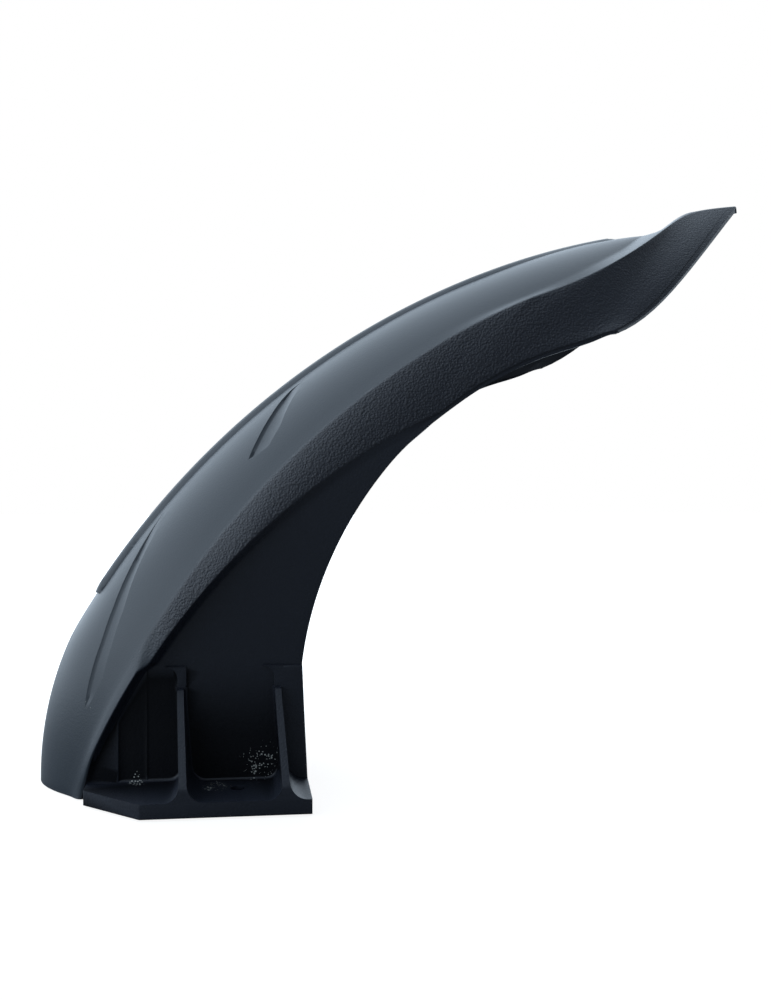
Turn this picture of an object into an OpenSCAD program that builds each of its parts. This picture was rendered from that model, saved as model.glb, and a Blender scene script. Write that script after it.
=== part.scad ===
// Front mudguard of an electric scooter, moulded in one piece.
// Millimetres. X runs forward along the guard, Y across the wheel, Z up.
// The origin lies between the two fixing holes, on the underside of the flanges.
// The side view is drawn in polar form about the wheel axle: an angle, and a rise
// above the rim arc that follows the tyre. Angles count up from the front to the tail.

/* [Wheel] */
// Outer diameter of the tyre that the guard covers
tyre_d = 255; // [220:1:280]
// Width of that tyre
tyre_w = 54; // [44:1:60]
// Radial gap between the tread and the rim arc
tread_gap = 14; // [8:0.5:24]
// Gap between the tyre's side and the inside of the skirt at the flanges
side_gap = 2.75; // [1.5:0.25:6]
// Forward distance from the fixing holes to the axle
axle_x = 165; // [160:0.5:170]
// Height of the axle above the underside of the flanges
axle_z = 34; // [30:0.5:38]

/* [Shell] */
// Thickness of the moulded wall
wall = 2.5; // [1.8:0.1:3]
// Half width of the body at its lower ridge
body_half = 46; // [43:0.5:50]
// Half width of the body at its upper ridge
shoulder_half = 40; // [37:0.5:42]
// Half width of the tail where it meets the ground plane
tail_half = 32.5; // [31.5:0.25:34]
// Radius of the long arc of the crown in side view
crown_r = 335.5; // [325:0.5:345]
// Radius of the arc that turns the crown down into the tail
tail_r = 132; // [114:1:145]
// Height that the crown gains over the tail arc
tail_rise = 0.8; // [0:0.1:1.5]
// Rise of the crown above the rim arc at the top of the tail arc
crown_rise = 84.8; // [78:0.5:90]
// Slope of the crown at the top of the tail arc, in degrees from level
crown_slope = 57.9; // [56:0.1:60]
// Angle about the axle at which the tail arc begins
tail_angle = 170.2; // [167:0.1:173]
// Width of the turned border along the free edges
border_w = 1.7; // [1.4:0.1:3]
// Step of that border below the outer face
border_step = 0.5; // [0.3:0.1:0.8]
// Depth to which the rim dips below its arc under the front half
rim_drop = 1.2; // [0:0.1:2]

/* [Ridges] */
// Rise of the upper ridge at the tail
shoulder_tail = 90.5; // [88:0.5:96]
// Rise that pulls the upper ridge towards the rim behind its middle
shoulder_low = 31.5; // [27:0.5:36]
// Rise that pulls the upper ridge towards the rim before its middle
shoulder_mid = 16.6; // [13:0.2:20]
// Rise of the upper ridge where the lip begins
shoulder_front = 22.6; // [20:0.2:26]
// Rise of the lower ridge at the tail
ridge_tail = 87.4; // [83:0.2:91]
// Rise that pulls the lower ridge towards the rim at its middle
ridge_mid = 17.9; // [14:0.2:22]
// Step of the lower ridge at the top of the side pockets
ridge_jog = 2.5; // [1:0.25:4]

/* [Lip] */
// Angle about the axle at the lower corner of the lip
corner_angle = 97.9; // [94:0.1:102]
// Rise of that corner above the rim arc
corner_rise = 1.2; // [0:0.1:2]
// Angle about the axle at the tip of the lip
tip_angle = 75.5; // [72:0.1:79]
// Height that the crown gains over the long arc behind the lip
front_rise = 0.8; // [0:0.1:1.6]
// Further height by which the crest of the lip stands above the long arc
lip_rise = 8.2; // [5:0.2:12]
// Further height gained from the crest to the tip
tip_rise = 2.5; // [0:0.25:6]

/* [Spine] */
// Half width of the flat spine on the crown
spine_half = 10; // [7:0.5:13]
// Height of the flat spine above the crown line
spine_h = 0.8; // [0.5:0.1:2]

/* [Flanges] */
// Half width across the outer faces of the flanges
flange_half = 58; // [56:0.5:62]
// Thickness of a flange
flange_t = 5.5; // [4:0.25:8]
// Rear end of a flange, behind the fixing hole
flange_back = 56; // [52:0.5:57]
// Front end of a flange, ahead of the fixing hole
flange_front = 26.5; // [25:0.5:28]
// Length cut from the outer rear corner
chamfer_x = 22; // [15:0.5:26]
// Width cut from the outer rear corner
chamfer_y = 18; // [12:0.5:20]
// Rounding of the corners of a flange
flange_r = 2; // [1:0.25:4]
// Diameter of a fixing hole
hole_d = 5.5; // [4.3:0.1:6.5]
// Distance from the middle plane to a fixing hole
hole_y = 42.5; // [41:0.25:46]

/* [Ribs] */
// Height at which the ribs end on the skirt
rib_top = 49; // [44:0.5:54]
// Height at which a rib's sloping edge meets its cap
rib_shoulder = 41; // [34:0.5:42]
// Height at which a rib's sloping edge leaves the flange face
rib_foot = 10; // [8:0.5:14]
// Thickness of a rib at its foot
rib_t = 2.8; // [2:0.1:4]
// Thickness of a rib at its top
rib_t_top = 2.4; // [1.8:0.1:3.4]
// Distance from the fixing hole back to the rear rib
rib_rear_x = 18.6; // [16:0.2:21]
// Distance from the fixing hole forward to the front rib
rib_front_x = 17.6; // [15:0.2:20]
// Lean of the rear rib over its height
rib_lean = 2.6; // [0:0.2:4]
// Fillet between a rib's foot and the flange
foot_r = 6; // [3:0.5:7]
// Fillet that flares a rib's cap backward
cap_r = 4.5; // [2:0.5:6]
// Height of a cap above the skirt
cap_h = 1.2; // [0.6:0.1:2]
// Forward distance from the fixing hole to the land's upper front corner
land_x = 24.4; // [22:0.2:26]

/* [Recess] */
// Depth of the recess in the skirt behind the rear rib
recess_depth = 0.8; // [0.3:0.1:1.2]
// Distance from the fixing hole back to the end of the recess
recess_back = 44.5; // [38:0.5:47]
// Height at which the recess ends
recess_top = 48; // [42:0.5:50]

/* [Blades] */
// Depth of the blade-shaped recesses beside the spine
blade_depth = 1.3; // [0.8:0.1:1.6]

/* [Hidden] */

// Rings along the guard, and points across one half of a ring
rings = 52;
top_points = 6;
band_points = 6;
skirt_points = 3;

// Radius of the rim arc about the axle
rim_r = tyre_d / 2 + tread_gap;
// Outer half width of the skirt at the flanges
skirt_half = tyre_w / 2 + side_gap + wall;
// Angles at which the crown, the ridges and the rim start, below the ground plane
crown_foot = 189.2;
ridge_foot = 189.6;
rim_foot = 195.8;
// Angle at which the upper ridge turns into the crest of the lip
lip_angle = 108.5;
// Angles at which the valley and the crest reach the middle plane
valley_angle = 87;
crest_angle = 82;
// Angle at which the lower ridge runs out on the rim
merge_angle = 129;
// Angle of the step where the pockets cut into the tail
jog_angle = 175.6;
// Width over which the top face folds into the upper ridge
soft_fold = 3;
// Height of the sloping ledge between the lower ridge and the skirt
ledge_h = 3;
// Half widths of the valley and of the crest where they reach the middle plane
keel_in = 1.4;
keel_out = 3.6;
// Angles at which the spine starts and ends, and over which its end slopes down
spine_start = 169.6;
spine_end = 90.2;
spine_ramp = 2.2;
// Angle at which the crown starts to gain height and the spine to narrow
front_angle = 112;
// Angle at which the guides of both ridges start, and the one where the lower ridge's step fades
guide_start = 190;
jog_fade = 184;
// Angles at which the upper and the lower ridge start to draw in, and the spans they do it over
shoulder_in = [164, 26];
ridge_in = [158, 30];
// Angles between which the rim starts to dip
dip = [140, 126];
// Recesses of both sizes: angles, and the curves of their outer and inner half widths
front_blade = [[136.4, 150.2], [21.9, 33.5, 33.2], [18.8, 25, 33]];
rear_blade = [[157.7, 180.2], [18.7, 31.5, 28.2], [16.8, 25.8, 27.7]];
// Side of the block that trims the body at the ground plane
trim = 500;
// Depth by which joined pieces run into the wall
sink = wall / 2;
// Height by which cutters stand clear of a face
clear = 1;
$fn = 48;

// Plain helpers
function mix(a, b, s) = a + (b - a) * s;
function clamp(s) = min(1, max(0, s));
function ease(a, b, x) = let (s = clamp((x - a) / (b - a))) s * s * (3 - 2 * s);
function bezier2(a, b, c, s) = mix(mix(a, b, s), mix(b, c, s), s);
function bezier3(a, b, c, d, s) = mix(bezier2(a, b, c, s), bezier2(b, c, d, s), s);
function unit(v) = v / norm(v);
function arc(centre, radius, from, to) =
    [for (i = [0 : 5]) centre + radius * [cos(mix(from, to, i / 5)), sin(mix(from, to, i / 5))]];

// A point from its angle about the axle, its rise above the rim arc and its side
function at(angle, rise, y) =
    [axle_x + (rim_r + rise) * cos(angle), y, axle_z + (rim_r + rise) * sin(angle)];

// Rise at which a ray from the axle meets an arc, whose centre is given from the axle
function rise_to_arc(angle, centre, radius) =
    let (along = centre[0] * cos(angle) + centre[1] * sin(angle))
    along + sqrt(along * along + radius * radius - centre * centre) - rim_r;

// Crown: a long arc and a tail arc that are tangent at tail_angle
crown_start = [(rim_r + crown_rise) * cos(tail_angle), (rim_r + crown_rise) * sin(tail_angle)];
crown_normal = [-sin(crown_slope), cos(crown_slope)];
crown_centre = crown_start - crown_r * crown_normal;
tail_centre = crown_start - tail_r * crown_normal;
function long_arc(angle) = rise_to_arc(angle, crown_centre, crown_r);
function crown(angle) =
    angle > tail_angle
        ? rise_to_arc(angle, tail_centre, tail_r)
            + tail_rise * ease(tail_angle, tail_angle + 5, angle)
        : long_arc(angle)
            + front_rise * ease(front_angle, valley_angle + 4, angle)
            + lip_rise * ease(valley_angle - 1, crest_angle - 0.8, angle)
            + tip_rise * clamp((crest_angle - angle) / (crest_angle - tip_angle));

// Upper ridge, which fades into the round tail behind, becomes the crest of the lip ahead
// and ends beside the crown line
function shoulder_rise(angle) =
    angle > lip_angle
        ? max(
            bezier3(shoulder_tail, shoulder_low, shoulder_mid, shoulder_front,
                (guide_start - angle) / (guide_start - lip_angle)),
            mix(crown(angle), ridge_line(angle), 0.81))
        : angle > crest_angle
            ? bezier3(shoulder_front, shoulder_front, shoulder_front + 10, crown(crest_angle),
                (lip_angle - angle) / (lip_angle - crest_angle))
            : crown(angle) - 0.3;
function shoulder_y(angle) =
    angle > lip_angle
        ? mix(shoulder_half, tail_half - 4.5, pow(clamp((angle - shoulder_in[0]) / shoulder_in[1]), 1.5))
        : bezier3(shoulder_half, shoulder_half - 2, shoulder_half - 4, keel_out,
            clamp((lip_angle - angle) / (lip_angle - crest_angle)));

// Slope at which the top face reaches the upper ridge
function fold_slope(angle) =
    1.75 * (crown(angle) - shoulder_rise(angle)) / shoulder_y(angle);

// Valley behind the crest, which lies on the top face before the lip begins
function valley_rise(angle) =
    angle > lip_angle
        ? shoulder_rise(angle) + soft_fold * fold_slope(angle)
        : angle > valley_angle
            ? bezier3(shoulder_front + soft_fold * fold_slope(lip_angle), shoulder_front + 6,
                shoulder_front + 12,
                crown(valley_angle), (lip_angle - angle) / (lip_angle - valley_angle))
            : crown(angle) - 0.05;
function valley_y(angle) =
    angle > lip_angle
        ? shoulder_y(angle) - soft_fold
        : bezier3(shoulder_half - soft_fold, shoulder_half - 5, shoulder_half - 8, keel_in,
            clamp((lip_angle - angle) / (lip_angle - valley_angle)));

// Top face between the crown and the valley
function top_rise(angle, y) =
    mix(crown(angle), valley_rise(angle), pow(y / valley_y(angle), 2));

// Rim, which dips under the front half and rises to the corner of the lip
function rim_rise(angle) =
    corner_rise * ease(corner_angle + 5, corner_angle, angle)
        - rim_drop * ease(dip[0], dip[1], angle) * ease(corner_angle + 1, corner_angle + 8, angle);

// Lower ridge, which runs into the border of the rim ahead of merge_angle
function ridge_line(angle) =
    rim_rise(angle)
        + max(
            border_w * mix(1, 0.55, ease(corner_angle + 4, corner_angle, angle)),
            bezier2(ridge_tail, ridge_mid, 1.5,
                (guide_start - angle) / (guide_start - merge_angle)));
function ridge_rise(angle) =
    ridge_line(angle)
        + ridge_jog * ease(jog_angle - 0.6, jog_angle + 0.6, angle)
            * ease(guide_start, jog_fade, angle);
function ridge_y(angle) =
    mix(body_half, tail_half, pow(clamp((angle - ridge_in[0]) / ridge_in[1]), 1.6));

// Outer half width of the skirt, which only depends on the height
function skirt_y(z) = mix(skirt_half, body_half - border_step, ease(axle_z - 16, axle_z + 104, z));

// One half of a section, from the crown line to the rim, at s from the tail to the lip.
// The step of the border is left out of the face that the inside is offset from.
function half_section(s, step) =
    let (
        crown_a = mix(crown_foot, tip_angle, s),
        shoulder_a = mix(crown_foot + 0.2, tip_angle + 0.5, s),
        ridge_a = mix(ridge_foot, corner_angle + 0.3, s),
        rim_a = mix(rim_foot, corner_angle, s),
        crown_h = crown(crown_a),
        valley_h = valley_rise(shoulder_a),
        shoulder_h = shoulder_rise(shoulder_a),
        ridge_h = ridge_rise(ridge_a),
        valley_w = valley_y(shoulder_a),
        shoulder_w = shoulder_y(shoulder_a),
        ridge_w = ridge_y(ridge_a),
        lip = ease(lip_angle + 6, tip_angle, shoulder_a),
        skirt = ease(merge_angle, merge_angle + 8, ridge_a),
        under_h = ridge_h - mix(border_step, ledge_h, skirt),
        under_w = mix(body_half - step, skirt_y(at(ridge_a, under_h, 0)[2]), skirt),
        rim_w = mix(body_half - step, skirt_y(at(rim_a, 0, 0)[2]), skirt)
    )
    concat(
        [for (i = [0 : top_points])
            let (u = i / top_points, a = mix(crown_a, shoulder_a, u * u))
            at(a, mix(crown_h, valley_h, u * u), valley_w * u)],
        [for (i = [0 : band_points])
            let (
                u = i / band_points,
                h1 = mix(shoulder_h, ridge_h, mix(0.3, 0.552, lip)),
                h2 = mix(shoulder_h, ridge_h, mix(0.62, 0.932, lip)),
                w1 = mix(shoulder_w, ridge_w, mix(0.45, 0.998, lip)),
                w2 = mix(shoulder_w, ridge_w, mix(0.8, 0.866, lip))
            )
            at(mix(shoulder_a, ridge_a, u), bezier3(shoulder_h, h1, h2, ridge_h, u),
                bezier3(shoulder_w, w1, w2, ridge_w, u))],
        [for (i = [0 : skirt_points])
            let (
                u = i / skirt_points,
                a = mix(ridge_a, rim_a, u),
                h = mix(under_h, rim_rise(rim_a), u)
            )
            at(a, h, mix(mix(under_w, rim_w, u), skirt_y(at(a, h, 0)[2]), skirt))]
    );

// Places of the folds in a half section
valley_i = top_points;
shoulder_i = valley_i + 1;
ridge_i = shoulder_i + band_points;
under_i = ridge_i + 1;
rim_i = under_i + skirt_points;

outer_half = [for (j = [0 : rings]) half_section(j / rings, border_step)];
plain_half = [for (j = [0 : rings]) half_section(j / rings, 0)];

// Way from a point of the plain face to the inside, mitred at a fold
function inward(j, i) =
    let (
        here = plain_half[j][i],
        along = plain_half[min(rings, j + 1)][i] - plain_half[max(0, j - 1)][i],
        after = plain_half[j][min(rim_i, i + 1)] - here,
        before = i > 0 ? here - plain_half[j][i - 1] : [-after[0], after[1], -after[2]],
        n1 = unit(cross(along, before)),
        n2 = unit(cross(along, i == rim_i ? before : after)),
        bisector = (n1 + n2) / 2,
        way = -wall * bisector / max(0.27, bisector * bisector)
    )
    i > 0 ? way : [way[0], 0, way[2]];
// The inside keeps to the folds, and runs evenly from one to the next
function inside_point(j, i) =
    plain_half[j][i]
        + (i <= valley_i
            ? mix(inward(j, 0), inward(j, valley_i), i / valley_i)
            : i <= ridge_i
                ? mix(inward(j, shoulder_i), inward(j, ridge_i), (i - shoulder_i) / band_points)
                : mix(inward(j, under_i), inward(j, rim_i), (i - under_i) / skirt_points));
inner_half = [for (j = [0 : rings]) [for (i = [0 : rim_i]) inside_point(j, i)]];

// A whole section, from the near rim over the crown to the far rim
function mirrored(half) =
    concat(
        [for (i = [len(half) - 1 : -1 : 1]) [half[i][0], -half[i][1], half[i][2]]],
        half
    );

// A closed skin around rings of equal length
module loft(loops) {
    n = len(loops[0]);
    last = len(loops) - 1;
    polyhedron(
        points = [for (loop = loops) each loop],
        faces = concat(
            [for (j = [0 : last - 1], i = [0 : n - 1])
                let (k = (i + 1) % n)
                [j * n + i, (j + 1) * n + k, (j + 1) * n + i]],
            [for (j = [0 : last - 1], i = [0 : n - 1])
                let (k = (i + 1) % n)
                [j * n + i, j * n + k, (j + 1) * n + k]],
            [for (i = [0 : n / 2 - 2]) [i, n - 1 - i, i + 1]],
            [for (i = [0 : n / 2 - 2]) [i + 1, n - 1 - i, n - 2 - i]],
            [for (i = [0 : n / 2 - 2]) [last * n + i, last * n + i + 1, last * n + n - 1 - i]],
            [for (i = [0 : n / 2 - 2])
                [last * n + i + 1, last * n + n - 2 - i, last * n + n - 1 - i]]
        )
    );
}

module shell() {
    loft([for (j = [0 : rings])
        let (inside = mirrored(inner_half[j]))
        concat(mirrored(outer_half[j]), [for (i = [len(inside) - 1 : -1 : 0]) inside[i]])]);
}

// Flat raised strip along the crown, which narrows and ends before the lip
module spine() {
    steps = 36;
    loft([for (j = [0 : steps])
        let (
            a = mix(spine_start, spine_end, j / steps),
            half = spine_half * mix(1, 0.5, ease(front_angle, spine_end, a)),
            edge = top_rise(a, half),
            end = ease(spine_end + spine_ramp, spine_end, a),
            top = mix(crown(a) + spine_h, edge - sink / 2, end)
        )
        [
            at(a, edge - sink, -half),
            at(a, top, -half + 0.4),
            at(a, top, half - 0.4),
            at(a, edge - sink, half)
        ]]);
}

// Cutter of one blade: steep along its inner side, running out along its outer side
module blade(shape) {
    steps = 16;
    outer = shape[1];
    inner = shape[2];
    loft([for (j = [0 : steps])
        let (
            u = j / steps,
            a = mix(shape[0][0], shape[0][1], u),
            y1 = bezier2(inner[0], inner[1], inner[2], u),
            y2 = max(y1 + 0.4, bezier2(outer[0], outer[1], outer[2], u)),
            depth = blade_depth * ease(0, 0.08, u) * (1 - u * u * u) + 0.05,
            h1 = top_rise(a, y1),
            h2 = top_rise(a, y2)
        )
        [
            at(a, h1 - depth, y1),
            at(a, h2, y2),
            at(a, h2 + clear, y2 + 0.3),
            at(a, h1 + clear, y1 - 0.3)
        ]]);
}

module blades() {
    blade(front_blade);
    blade(rear_blade);
}

// Extrudes a side view (X, Z) across the guard, between two depths on the near side
module across(from, to) {
    translate([0, -from, 0]) rotate([90, 0, 0]) linear_extrude(to - from) children();
}

// Extrudes a cross view (Y, Z) along the guard
module lengthwise(from, to) {
    translate([from, 0, 0]) rotate([90, 0, 90]) linear_extrude(to - from) children();
}

// Corner of an outline, rounded by radius, between the points before and after it
function round_corner(before, corner, after, radius) =
    let (
        u = unit(before - corner),
        v = unit(after - corner),
        half = acos(u * v) / 2,
        setback = radius / tan(half)
    )
    [for (i = [0 : 4]) bezier2(corner + u * setback, corner, corner + v * setback, i / 4)];

// Plate under the ribs, seen from above
module flange() {
    inner_edge = -skirt_half + sink;
    front_corner = [flange_front, -flange_half];
    cut_front = [chamfer_x - flange_back, -flange_half];
    cut_back = [-flange_back, chamfer_y - flange_half];
    linear_extrude(flange_t)
        polygon(concat(
            [[flange_front, inner_edge], [-flange_back, inner_edge]],
            round_corner([-flange_back, 0], cut_back, cut_front, flange_r),
            round_corner(cut_back, cut_front, front_corner, flange_r),
            round_corner(cut_front, front_corner, [flange_front, 0], flange_r)
        ));
}

// Cross view (Y, Z) of a rib: sloping edge, shoulder and cap, and the wall it stands on
module rib_profile() {
    cap = skirt_y(rib_top) + cap_h;
    polygon(concat(
        [
            [-cap, rib_top],
            [-cap, rib_shoulder + 1],
            [-cap - 2.5, rib_shoulder],
            [-flange_half, rib_foot],
            [-flange_half, flange_t - sink]
        ],
        [for (i = [0 : 5]) let (z = mix(flange_t - sink, rib_top, i / 5)) [sink - skirt_y(z), z]]
    ));
}

// Side view (X, Z) of a rib with its foot fillets and the flare of its cap
module rib_outline(x) {
    top_x = x - rib_lean;
    left_top = top_x - rib_t_top / 2;
    right_top = top_x + rib_t_top / 2;
    foot_z = flange_t + foot_r;
    polygon(concat(
        [[x - rib_t / 2 - foot_r, flange_t - sink]],
        arc([x - rib_t / 2 - foot_r, foot_z], foot_r, -90, 0),
        arc([left_top - cap_r, rib_top - cap_r], cap_r, 0, 90),
        [
            [right_top + cap_h * 2, rib_top],
            [right_top + cap_h * 2, rib_shoulder + 1],
            [right_top, rib_shoulder - 1]
        ],
        arc([x + rib_t / 2 + foot_r, foot_z], foot_r, 180, 270),
        [[x + rib_t / 2 + foot_r, flange_t - sink]]
    ));
}

// Rib with its cap, standing on the flange and leaning on the skirt
module rib(x) {
    reach = rib_t + foot_r + rib_lean + cap_r;
    intersection() {
        lengthwise(x - reach, min(x + reach, flange_front)) rib_profile();
        across(0, flange_half + clear) rib_outline(x);
    }
}

// Cross view (Y, Z) of a layer on the skirt, between two depths from its outer face
module skirt_layer(outer, inner, from, to) {
    levels = [for (i = [0 : 5]) mix(from, to, i / 5)];
    polygon(concat(
        [for (i = [0 : 5]) [outer - skirt_y(levels[i]), levels[i]]],
        [for (i = [5 : -1 : 0]) [inner - skirt_y(levels[i]), levels[i]]]
    ));
}

// Flat land between the front rib and the rim, with a straight front edge
module land() {
    back = rib_front_x - rib_lean;
    intersection() {
        lengthwise(back, flange_front) skirt_layer(-cap_h, sink, flange_t - sink, rib_top);
        across(0, flange_half)
            polygon([
                [back, rib_top],
                [back, 0],
                [flange_front, 0],
                [flange_front, flange_t],
                [land_x, rib_top]
            ]);
    }
}

// Cutter of the shallow recess in the skirt, which stays below the lower ridge
module recess() {
    intersection() {
        lengthwise(-recess_back, -rib_rear_x)
            skirt_layer(-clear, recess_depth, flange_t, recess_top);
        across(0, flange_half)
            polygon(concat(
                [[-rib_rear_x, 0], [-rib_rear_x, recess_top + clear]],
                [for (a = [guide_start - 20 : 1 : guide_start])
                    let (p = at(a, ridge_rise(a) - ledge_h - 0.2, 0)) [p[0], p[2]]]
            ));
    }
}

module near_side() {
    flange();
    rib(-rib_rear_x);
    rib(rib_front_x);
    land();
}

module both_sides() {
    children();
    mirror([0, 1, 0]) children();
}

module mudguard() {
    color([0.3, 0.33, 0.37])
        difference() {
            union() {
                difference() {
                    union() {
                        shell();
                        spine();
                    }
                    both_sides() {
                        blades();
                        recess();
                    }
                    translate([-trim / 2, -trim / 2, -trim]) cube(trim);
                }
                both_sides() near_side();
            }
            both_sides()
                translate([0, -hole_y, -clear]) cylinder(d = hole_d, h = flange_t + 2 * clear);
        }
}

mudguard();
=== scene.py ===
"""Dressed scene of an electric scooter's front mudguard, moulded in one piece.

Sizes are in millimetres and degrees, as in the solid model, and are turned to metres when a
mesh is made. The side view is polar about the wheel axle: an angle, counted up from the front
to the tail, and a rise above the rim arc that follows the tyre.
"""

import itertools
import logging
import math
from collections.abc import Callable
from dataclasses import dataclass, field
from enum import Enum

import bmesh
import bpy
import numpy as np
from mathutils import Matrix, Vector


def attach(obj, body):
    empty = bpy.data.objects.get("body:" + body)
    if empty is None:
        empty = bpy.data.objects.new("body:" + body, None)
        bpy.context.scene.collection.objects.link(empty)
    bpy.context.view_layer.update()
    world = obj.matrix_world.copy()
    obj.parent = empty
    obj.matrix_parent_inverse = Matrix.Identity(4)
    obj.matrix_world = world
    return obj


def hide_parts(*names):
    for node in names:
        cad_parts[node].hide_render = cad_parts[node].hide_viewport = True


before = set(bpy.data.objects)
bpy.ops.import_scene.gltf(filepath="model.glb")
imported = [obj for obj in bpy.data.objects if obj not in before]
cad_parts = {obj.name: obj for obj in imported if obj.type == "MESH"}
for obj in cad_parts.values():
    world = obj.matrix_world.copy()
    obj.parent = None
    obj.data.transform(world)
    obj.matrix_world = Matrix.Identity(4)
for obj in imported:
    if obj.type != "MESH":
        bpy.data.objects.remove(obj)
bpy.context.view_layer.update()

MM = 0.001
LOG = logging.getLogger("mudguard")
NUMBERS = itertools.count(1)
Span = tuple[float, float]
Triple = tuple[float, float, float]
Point = Triple
Curve = Callable[[float], np.ndarray]
Thing = bpy.types.Object
Tree = bpy.types.NodeTree
Socket = bpy.types.NodeSocket
BMesh = bmesh.types.BMesh
BMEdge = bmesh.types.BMEdge
BMFace = bmesh.types.BMFace
BMVert = bmesh.types.BMVert


def mix(a: float, b: float, s: float) -> float:
    """Returns the value at share s of the way from a to b."""
    return a + (b - a) * s


def clamp(s: float) -> float:
    """Returns s kept between 0 and 1."""
    return min(1.0, max(0.0, s))


def part(a: float, b: float, x: float) -> float:
    """Returns the share of the way from a to b at which x lies."""
    return (x - a) / (b - a)


def ease(a: float, b: float, x: float) -> float:
    """Returns a smooth step from 0 where x is a to 1 where x is b."""
    s = clamp(part(a, b, x))
    return s * s * (3 - 2 * s)


def bezier2(a: float, b: float, c: float, s: float) -> float:
    """Returns a quadratic curve's value at s."""
    return mix(mix(a, b, s), mix(b, c, s), s)


def bezier3(a: float, b: float, c: float, d: float, s: float) -> float:
    """Returns a cubic curve's value at s."""
    return mix(bezier2(a, b, c, s), bezier2(b, c, d, s), s)


class Fold(Enum):
    """The lines along the guard at which its section turns, from the crown to the rim."""

    CROWN = 0
    VALLEY = 1
    SHOULDER = 2
    RIDGE = 3
    UNDER = 4
    RIM = 5


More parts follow.
